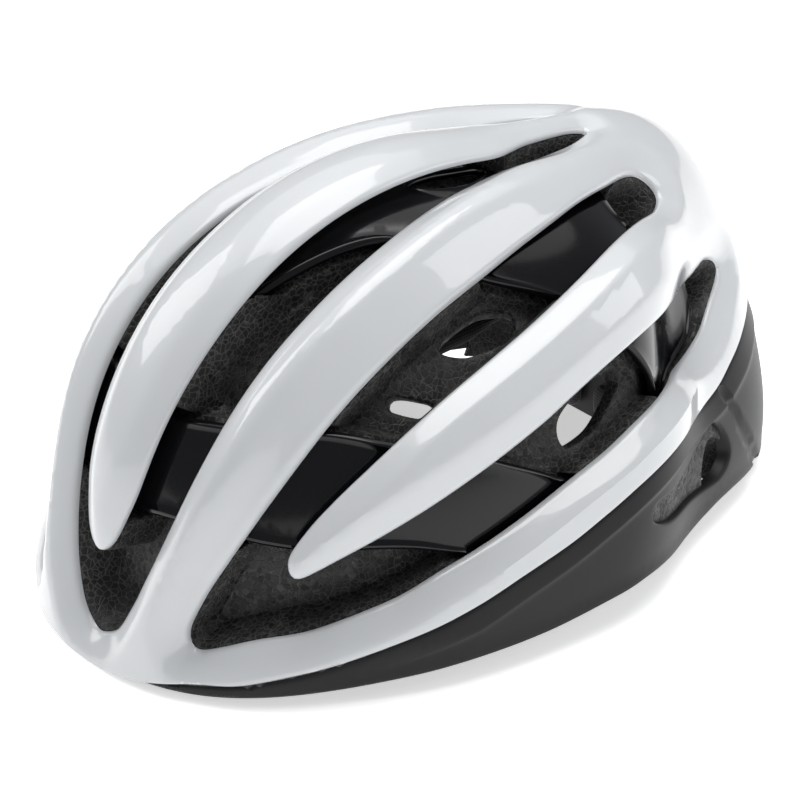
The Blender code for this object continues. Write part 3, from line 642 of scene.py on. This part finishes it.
def nearness(flat, outline, widths, depths):
    """(w / t)^5 for one edge at distance t with facet width w, and the same times its depth.

    Sum of step * w^5 / (c t^6) over the edge: for a straight edge this is (w / t)^5, and
    between two edges it is a smooth blend of both.
    """
    step = np.linalg.norm(np.roll(outline, -1, axis=0) - outline, axis=1)
    scale = math.sqrt(math.pi) * math.gamma((POWER - 1) / 2) / math.gamma(POWER / 2)
    weight = step * widths ** (POWER - 1) / scale
    weights = np.column_stack([weight, weight * depths])
    found = []
    for part in np.array_split(flat, len(flat) // 8000 + 1):
        away = np.maximum(squared_distance(part, outline), LEAST_SQUARE)
        found.append((1 / (away * away * away)) @ weights)
    return np.concatenate(found)


centre_table = (*CENTRE_FACETS, *turned(CENTRE_FACETS[1:-1], 62))
vent_tables = [centre_table, SIDE_FACETS, turned(SIDE_FACETS, 56)]
drawn_vents = [both_sides(CENTRE_VENT), SIDE_VENT, mirrored(SIDE_VENT)]
vent_widths = [along_outline(*pair, 1) for pair in zip(drawn_vents, vent_tables)]
vent_depths = [along_outline(*pair, 2) for pair in zip(drawn_vents, vent_tables)]


def facet_drop(flat):
    """Lip depth times a ramp in t / w that has a soft corner at the top of the facet.

    Near the rim it fades out, so that the rim stays one smooth line.
    """
    pull = sum(nearness(flat, *facts) for facts in zip(vents, vent_widths, vent_depths))
    far = pull[:, 0] ** (-1 / (POWER - 1))
    depth = pull[:, 1] / pull[:, 0]
    true = np.min([away_from(flat, vent) for vent in vents], axis=0)
    near = true / NEAR_FACET
    ratio = near + (far - near) * smooth((true - 0.4) / 2.0)
    u = 1 - ratio
    held_up = 0.15 + 0.85 * smooth(away_from(flat, rim) / CALM_RIM)
    return held_up * depth * 0.5 * (u + np.sqrt(u * u + SOFT_CREASE ** 2)), true


def quarter_round(away, radius, drop):
    """Drop times 1 - sqrt(1 - (1 - t)^2): a rounded edge of this width in degrees."""
    t = np.clip(1 - away / radius, 0, 1)
    return drop * (1 - np.sqrt(np.maximum(1 - t * t, 0)))


# %% White shell
SHELL_ROWS = (0.12, 0.3, 0.6, 1.1, 1.8, 2.7, 3.7, 4.7)
shell_rows = [ring(vent, out) for vent in vents for out in SHELL_ROWS]
shell_rows += [ring(rim, -inward) for inward in (0.12, 0.3, 0.55)]
shell_net = flat_net(rim, vents, 1.35, shell_rows)
flat = shell_net[0]
drop, away = facet_drop(flat)
body_height = crest(flat) - drop
edges = quarter_round(away, ROLL_WIDTH, LIP_ROLL) + quarter_round(away_from(flat, rim), 0.5, 0.9)
new_piece("white_shell", *lifted(shell_net, body_height - edges, body_height - SHELL_WALL),
          pearl_white, "helmet", ["outer_shell"], "white_shell")

# %% [markdown]
# ## Gloss hoops
# Two hoops of gloss black plastic run under the ribs from side to side. Their edges turn up into
# a thin bead, which catches a bright line.

# %% Gloss hoops
HOOP_DEPTH = 12.0
HOOP_WALL = 1.8


def hoop_height(flat, edges):
    """Level 12 mm under the crest, with a raised bead just in from each edge."""
    away = np.min([away_from(flat, edge) for edge in edges], axis=0)
    bead = 0.8 * np.exp(-((away - 0.75) / 0.4) ** 2)
    return crest(flat) - HOOP_DEPTH + bead - quarter_round(away, 0.45, 0.7)


for name, outline, slits in (("front", hoop_outlines[0], []),
                             ("rear", hoop_outlines[1], hoop_slits)):
    rows = [ring(outline, -inward) for inward in (0.12, 0.3, 0.55, 0.85, 1.25, 1.9)]
    rows += [ring(slit, out) for slit in slits for out in (0.12, 0.3, 0.55, 0.85, 1.25)]
    net = flat_net(outline, slits, 1.4, rows)
    flat = net[0]
    new_piece(f"gloss_hoop_{name}", *lifted(net, hoop_height(flat, [outline, *slits]),
                                            crest(flat) - HOOP_DEPTH - HOOP_WALL),
              gloss_black, "helmet", [f"{name}_hoop"], "gloss_hoop")

# %% [markdown]
# ## Foam liner
# The foam fills the shell, drops steeply at each vent to a pocket, and stays level under the
# hoops. Between the hoops the deepest vents go right through. Inside, shallow channels carry air
# back over the head.

# %% Foam liner
POCKET_DEPTH = 24.0
LEAST_FOAM = 7.0
HOOP_SEAT = 3.5
CHANNEL_DEPTH = 3.0


def foam_outer(flat):
    """Under the shells, down a wall at each vent to the pocket, level under the hoops."""
    outside = crest(flat)
    under_rim = np.where(inside(flat, rim), facet_drop(flat)[0] + SHELL_WALL + 0.4, 3.4)
    floor = head(flat) + LEAST_FOAM
    within = np.max([depth_in(flat, vent) for vent in vents], axis=0)
    pocket = np.maximum(outside - POCKET_DEPTH, floor)
    top = outside - under_rim
    top = top + (pocket - top) * smooth((within - 0.1) / 1.1)
    under = np.max([depth_in(flat, hoop) for hoop in hoop_outlines], axis=0)
    seat = outside - HOOP_DEPTH - HOOP_WALL - HOOP_SEAT
    top = top + (seat - top) * smooth((under + 1.4) / 0.9)
    through = np.max([depth_in(flat, vent) for vent in through_vents], axis=0)
    return top - quarter_round(-through, 0.9, 1.6)


def foam_inner(flat):
    """The head's form, with channels CHANNEL_DEPTH deep between the pads."""
    p, q = np.abs(flat[:, 0]), flat[:, 1]
    lanes = sum(np.exp(-((p - lane) / 3.2) ** 4) for lane in (13.5, 37.0))
    run = smooth((q + 72) / 10) * smooth((58 - q) / 12)
    through = np.max([depth_in(flat, vent) for vent in through_vents], axis=0)
    return head(flat) + CHANNEL_DEPTH * lanes * run + quarter_round(-through, 0.9, 1.6)


foam_edge = even(lower_edge(lift=2.0))
foam_rows = [ring(vent, -inward) for vent in vents for inward in (0.1, 0.4, 0.7, 1.0, 1.3)]
foam_rows += [ring(vent, out) for vent in vents for out in (0.3, 1.5, 3.0)]
foam_rows += vents
foam_rows += [ring(hoop, out) for hoop in hoop_outlines for out in (1.5, 1.15, 0.8, 0.5)]
foam_rows += [ring(vent, out) for vent in through_vents for out in (0.15, 0.4, 0.9)]
foam_net = flat_net(foam_edge, through_vents, 1.5, foam_rows)
new_piece("bead_foam_liner", *lifted(foam_net, foam_outer(foam_net[0]), foam_inner(foam_net[0])),
          bead_foam, "helmet", ["foam_liner"], "foam", smooth_under=50)

# %% [markdown]
# ## Black band
# The band wraps the foam's edge below the white shell. A narrow shelf runs just under the white
# edge, a fine ridge parts it from the flank, and each side has a long slot with foam behind it.

# %% Black band
BAND_WALL = 2.2
RIDGE_FROM_RIM = 4.6
GROOVE = np.array([(50.0, 63.5), (52.2, 68.0), (53.6, 73.5), (53.0, 80.0), (50.0, 88.0)])


def band_outer(flat):
    """The crest less a shadow gap at the rim, a shelf up to the ridge, and a rolled lower edge."""
    under = away_from(flat, rim)
    over = away_from(flat, shell_edge)
    ridge = np.minimum(RIDGE_FROM_RIM, 0.45 * (under + over))
    shelf = 1.5 * np.clip(1 - under / ridge, 0, 1) + 0.5 * np.exp(-(under / 0.6) ** 2)
    brow = smooth((-flat[:, 1] - 55) / 30)
    flank = 0.7 * smooth((under - ridge) / 1.2) * smooth(over / 3) + 2.2 * brow
    slots = np.max([depth_in(flat, slot) for slot in band_slots], axis=0)
    lips = quarter_round(-slots, 0.8, 1.5)
    groove = np.minimum(away_from(flat, GROOVE, closed=False),
                        away_from(flat, GROOVE * (-1, 1), closed=False))
    groove = 1.2 * smooth((1.9 - groove) / 0.5)
    return crest(flat) - 0.3 - shelf - flank - lips - groove - quarter_round(over, 0.9, 0.9)


band_hole = ring(rim, 0.25)
band_rows = [ring(rim, out) for out in (0.5, 0.8, 1.2, 1.8)]
band_rows += [ring(rim, out) for out in (3.6, 4.2, 4.5, 4.7, 5.0, 5.5, 6.2)]
band_rows += [ring(shell_edge, -inward) for inward in (0.15, 0.4, 0.8, 1.3)]
band_rows += [ring(slot, out) for slot in band_slots for out in (0.12, 0.3, 0.55, 0.85)]
band_net = flat_net(shell_edge, [band_hole, *band_slots], 1.4, band_rows)
new_piece("black_band", *lifted(band_net, band_outer(band_net[0]),
                                crest(band_net[0]) - 0.3 - BAND_WALL - 3.4),
          satin_black, "helmet", ["lower_shell"], "black_shell", smooth_under=30)

# %% [markdown]
# ## Fabrics
# Pads are covered in brushed knit and the straps are woven nylon tape. Both share one weave
# group: the product of two waves at right angles, one for each set of threads, plus a third
# wave along Z, which also draws rings on the slopes of a pad. The pads read the group in object
# space. The tape reads it from its own flat UV map, where Z is nought, so that its ribs follow
# every bend.

# %% Weave group and fabrics
weave, first, last = group(
    "weave",
    [("Position", "NodeSocketVector", None), ("Across", "NodeSocketFloat", 900.0),
     ("Along", "NodeSocketFloat", 900.0), ("Dark", "NodeSocketColor", (0.006, 0.006, 0.007, 1)),
     ("Light", "NodeSocketColor", (0.04, 0.04, 0.045, 1))],
    [("Colour", "NodeSocketColor"), ("Height", "NodeSocketFloat"),
     ("Roughness", "NodeSocketFloat")])
axes = node(weave, "ShaderNodeSeparateXYZ", {"Vector": first.outputs["Position"]})
waves = []
for axis, count in (("X", "Across"), ("Y", "Along"), ("Z", "Along")):
    turns = node(weave, "ShaderNodeMath", {0: axes.outputs[axis], 1: first.outputs[count]},
                 operation="MULTIPLY")
    waves.append(node(weave, "ShaderNodeMath", {0: turns.outputs[0]}, operation="SINE").outputs[0])
over = node(weave, "ShaderNodeMath", {0: waves[0], 1: waves[1]}, operation="MULTIPLY")
over = node(weave, "ShaderNodeMath", {0: over.outputs[0], 1: waves[2]}, operation="ADD")
fuzz = node(weave, "ShaderNodeTexNoise", {"Vector": first.outputs["Position"], "Scale": 2200.0,
                                          "Detail": 4.0})
thread = ramp(weave, over.outputs[0], -1.3, 1.3)
level = node(weave, "ShaderNodeMath", {0: thread, 1: fuzz.outputs["Fac"]}, operation="MULTIPLY")
blend = node(weave, "ShaderNodeMix", {0: ramp(weave, level.outputs[0], 0.05, 0.6)},
             data_type="RGBA")
weave.links.new(first.outputs["Dark"], blend.inputs[6])
weave.links.new(first.outputs["Light"], blend.inputs[7])
weave.links.new(blend.outputs[2], last.inputs["Colour"])
weave.links.new(level.outputs[0], last.inputs["Height"])
weave.links.new(ramp(weave, fuzz.outputs["Fac"], 0, 1, 0.7, 0.98), last.inputs["Roughness"])


def fabric(name, source, across, along, light, strength):
    """A fabric from the weave group, with a soft sheen, reading Object or UV coordinates."""
    look, tree, shader = finish(name, sheen_weight=0.35, sheen_roughness=0.5)
    where = node(tree, "ShaderNodeTexCoord")
    cell = place_group(tree, weave, {"Position": where.outputs[source], "Across": across,
                                     "Along": along, "Light": (*light, 1)})
    raised = node(tree, "ShaderNodeBump", {"Height": cell.outputs["Height"], "Strength": strength,
                                           "Distance": 0.0003})
    for key in ("Colour", "Roughness"):
        target = "Base Color" if key == "Colour" else key
        tree.links.new(cell.outputs[key], shader.inputs[target])
    tree.links.new(raised.outputs["Normal"], shader.inputs["Normal"])
    return look


pad_knit = fabric("brushed_pad_knit", "Object", 5200.0, 5200.0, (0.045, 0.045, 0.05), 0.7)
strap_web = fabric("woven_strap", "UV", 44.0, 2400.0, (0.05, 0.05, 0.055), 0.9)
print("fabrics", pad_knit.name, strap_web.name)

# %% [markdown]
# ## Pads
# Six pads line the foam and two sit on the cradle. Each is a cut of soft foam in a knit cover,
# so its face swells a little between its rounded edges. A small cloth simulation does that: the
# cover is inflated, with its movement capped so it stays in the room the model keeps for it.

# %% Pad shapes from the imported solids
PAD_VOXEL = 0.0014
PAD_CAP = 0.0007
PAD_NAMES = ["brow_pad", "crown_pad", "rib_pad_left", "rib_pad_right", "side_pad_left",
             "side_pad_right", "cradle_pad_left", "cradle_pad_right"]


def merged_copy(name, node_name):
    """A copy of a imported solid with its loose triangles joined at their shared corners."""
    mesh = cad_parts[node_name].data.copy()
    mesh.name = name
    work = bmesh.new()
    work.from_mesh(mesh)
    bmesh.ops.remove_doubles(work, verts=work.verts, dist=1e-6)
    bmesh.ops.dissolve_limit(work, angle_limit=math.radians(1.0), verts=work.verts,
                             edges=work.edges)
    bmesh.ops.recalc_face_normals(work, faces=work.faces)
    work.to_mesh(mesh)
    work.free()
    mesh.materials.clear()
    item = bpy.data.objects.new(name, mesh)
    bpy.context.scene.collection.objects.link(item)
    return item


def vertex_array(mesh):
    places = np.empty(len(mesh.vertices) * 3, np.float32)
    mesh.vertices.foreach_get("co", places)
    return places.reshape(-1, 3).astype(float)


def applied(item):
    """The item's mesh with every modifier taken in."""
    graph = bpy.context.evaluated_depsgraph_get()
    mesh = bpy.data.meshes.new_from_object(item.evaluated_get(graph))
    item.modifiers.clear()
    item.data = mesh
    return item


def inflated(item):
    """Cloth under a small pressure for 20 frames, each point held within PAD_CAP of its start."""
    start = vertex_array(item.data)
    cloth = item.modifiers.new("swell", "CLOTH").settings
    cloth.use_pressure = True
    cloth.uniform_pressure_force = 4.0
    cloth.effector_weights.gravity = 0.0
    for moment in range(1, 21):
        bpy.context.scene.frame_set(moment)
        bpy.context.view_layer.update()
    graph = bpy.context.evaluated_depsgraph_get()
    moved = vertex_array(item.evaluated_get(graph).data) - start
    item.modifiers.clear()
    bpy.context.scene.frame_set(1)
    far = np.linalg.norm(moved, axis=1, keepdims=True)
    moved *= np.minimum(1, PAD_CAP / np.maximum(far, 1e-9))
    item.data.vertices.foreach_set("co", (start + moved).astype(np.float32).ravel())
    item.data.update()
    return min(far.max(), PAD_CAP)


for name in PAD_NAMES:
    pad = merged_copy("padded_" + name, name)
    remesh = pad.modifiers.new("even", "REMESH")
    remesh.mode = "VOXEL"
    remesh.voxel_size = PAD_VOXEL * 1
    smoothing = pad.modifiers.new("round", "SMOOTH")
    smoothing.factor, smoothing.iterations = 0.8, 14
    applied(pad)
    print(name, "swelled", round(inflated(pad) * 1000, 2), "mm")
    finer = pad.modifiers.new("finer", "SUBSURF")
    finer.levels = finer.render_levels = 1
    applied(pad)
    pad.data.shade_smooth()
    pad.data.materials.append(pad_knit)
    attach(pad, "cradle" if name.startswith("cradle") else "helmet")
    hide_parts(name)

# %% [markdown]
# ## Straps
# The webbing is a flat tape that turns at the divider and runs on to the buckle. Each tape is a
# rounded section carried along its route, with a UV map that counts across and along it, and
# raised selvedges at both edges.

# %% Tape along a route
FLOOR_BELOW = -HEAD_CENTRE[2]
BUCKLE_Y = -6.0
WEB_THICK = 1.3
WEB_LEVEL = FLOOR_BELOW + 1.0
DIVIDER_FOOT, DIVIDER_RISE = -22.0, 13.0
TAPE_SECTION = 28


def tape(name, route, across, width, body, node_name):
    """A tape with the section (w/2 |c|^0.55, t/2 |s|^0.45 (0.82 + 0.18 c^8)) along the route.

    Here c and s are the cosine and the sine of the turn round the section, and give the signs.
    """
    ahead = np.gradient(route, axis=0)
    ahead /= np.linalg.norm(ahead, axis=1, keepdims=True)
    side = across - ahead * (across * ahead).sum(1, keepdims=True)
    side /= np.linalg.norm(side, axis=1, keepdims=True)
    thick = np.cross(ahead, side)
    turn = np.linspace(0, 2 * math.pi, TAPE_SECTION, endpoint=False)
    c, s = np.cos(turn), np.sin(turn)
    wide = width / 2 * np.sign(c) * np.abs(c) ** 0.55
    high = WEB_THICK / 2 * np.sign(s) * np.abs(s) ** 0.45 * (0.82 + 0.18 * np.abs(c) ** 8)
    points = (route[:, None] + side[:, None] * wide[None, :, None]
              + thick[:, None] * high[None, :, None]).reshape(-1, 3)
    rows, count = len(route), TAPE_SECTION
    i, j = np.meshgrid(np.arange(rows - 1), np.arange(count), indexing="ij")
    a, b = i * count + j, i * count + (j + 1) % count
    faces = np.stack([a, b, b + count, a + count], -1).reshape(-1, 4).tolist()
    faces += [tuple(range(count))[::-1], tuple(range((rows - 1) * count, rows * count))]
    run = np.concatenate([[0], np.cumsum(np.linalg.norm(np.diff(route, axis=0), axis=1))])
    item = new_piece(name, points, faces, strap_web, body, [node_name], "webbing")
    layer = item.data.uv_layers.new(name="tape")
    corner = np.empty(len(item.data.loops), np.int32)
    item.data.loops.foreach_get("vertex_index", corner)
    uv = np.column_stack([wide[corner % count] / 2.0, run[corner // count] * MM])
    layer.data.foreach_set("uv", uv.astype(np.float32).ravel())
    work = bmesh.new()
    work.from_mesh(item.data)
    bmesh.ops.recalc_face_normals(work, faces=work.faces)
    work.to_mesh(item.data)
    work.free()
    return item


def smooth_route(points, count=60):
    """A Catmull-Rom curve through open points, in equal steps."""
    points = np.asarray(points, float)
    ends = np.vstack([2 * points[0] - points[1], points, 2 * points[-1] - points[-2]])
    p0, p1, p2, p3 = (ends[k:len(ends) - 3 + k][:, None] for k in range(4))
    t = np.linspace(0, 1, 16, endpoint=False)[None, :, None]
    fine = 0.5 * (2 * p1 + (p2 - p0) * t + (2 * p0 - 5 * p1 + 4 * p2 - p3) * t ** 2
                  + (3 * p1 - p0 - 3 * p2 + p3) * t ** 3)
    fine = np.vstack([fine.reshape(-1, points.shape[1]), points[-1:]])
    run = np.concatenate([[0], np.cumsum(np.linalg.norm(np.diff(fine, axis=0), axis=1))])
    at = np.linspace(0, run[-1], count)
    return np.column_stack([np.interp(at, run, column) for column in fine.T])


# %% Straps on both sides
for side, word in ((1, "left"), (-1, "right")):
    start = 14.3 if side > 0 else 28.3
    flat_run = smooth_route([(start, 0), (start + 12, 0), (60, 0), (69, 0.6), (73.5, 3),
                             (75.3, DIVIDER_FOOT - WEB_LEVEL - 1.5)])
    route = np.column_stack([side * flat_run[:, 0], np.full(len(flat_run), BUCKLE_Y),
                             WEB_LEVEL + flat_run[:, 1]])
    tape(f"woven_chin_strap_{word}", route, np.array([[0, 1.0, 0]]), 15.0,
         "buckle_half" if side > 0 else "helmet", f"chin_strap_{word}")
    for end, reach, top in (("front", -38.0, 70.9), ("rear", 42.0, 69.2)):
        sign = math.copysign(1, reach)
        low = np.array((side * 75.3, BUCKLE_Y + sign * 15.5, DIVIDER_FOOT + DIVIDER_RISE / 2))
        high = np.array((side * top, BUCKLE_Y + reach, 8.0))
        bend = np.array((side * (75.3 + top) / 2, BUCKLE_Y + reach * 0.55, -2.0))
        t = np.linspace(0, 1, 50)[:, None]
        route = (1 - t) ** 2 * low + 2 * t * (1 - t) * bend + t ** 2 * high
        across = np.cross(np.gradient(route, axis=0), (side, 0, 0))
        tape(f"woven_strap_{end}_{word}", route, across, 12.0, "helmet", f"strap_{end}_{word}")

# %% [markdown]
# ## Hard fittings
# The cradle, its track, the dial and the buckle are small injection mouldings. Their shapes come
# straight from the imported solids. A copy of each gets the small edge radii that a mould leaves,
# because it is those rounded edges that catch the light.

# %% Rounded copies of the mouldings
MOULDINGS = (
    ("occipital_cradle", "moulded_cradle", "cradle", 0.7),
    ("height_track", "track_plate", "helmet", 0.5),
    ("dial_housing", "housing_cover", "cradle", 0.8),
    ("dial_knob", "ribbed_dial", "dial", 0.5),
    ("dial_pinion", "pinion_gear", "dial", 0.12),
    ("headband_arm_left", "racked_arm_left", "arm_left", 0.2),
    ("headband_arm_right", "racked_arm_right", "arm_right", 0.2),
    ("strap_divider_left", "divider_plate_left", "helmet", 0.7),
    ("strap_divider_right", "divider_plate_right", "helmet", 0.7),
    ("buckle_plug", "pronged_plug", "buckle_half", 0.5),
    ("buckle_socket", "hollow_socket", "helmet", 0.8),
)
for node_name, name, body, radius in MOULDINGS:
    item = merged_copy(name, node_name)
    rounding = item.modifiers.new("mould radius", "BEVEL")
    rounding.width = radius * MM
    rounding.segments = 3
    rounding.limit_method = "ANGLE"
    rounding.angle_limit = math.radians(35)
    applied(item)
    item.data.shade_smooth()
    item.data.set_sharp_from_angle(angle=math.radians(40))
    item.data.materials.append(rubber_black if node_name == "dial_knob" else nylon_black)
    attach(item, body)
    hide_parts(node_name)
    print(name, len(item.data.polygons), "faces")

# %% [markdown]
# ## Floor
# The table is matt white. It gives off a little light of its own, so that it stays pale right up
# to the helmet and the shadow there is soft.

# %% Floor finish
floor_look = bpy.data.materials.new("white_table")
floor_look.use_nodes = True
shader = floor_look.node_tree.nodes["Principled BSDF"]
shader.inputs["Base Color"].default_value = (0.93, 0.93, 0.93, 1)
shader.inputs["Roughness"].default_value = 0.7
shader.inputs["Emission Color"].default_value = (1, 1, 1, 1)
shader.inputs["Emission Strength"].default_value = 0.55
floor_mesh.materials.append(floor_look)
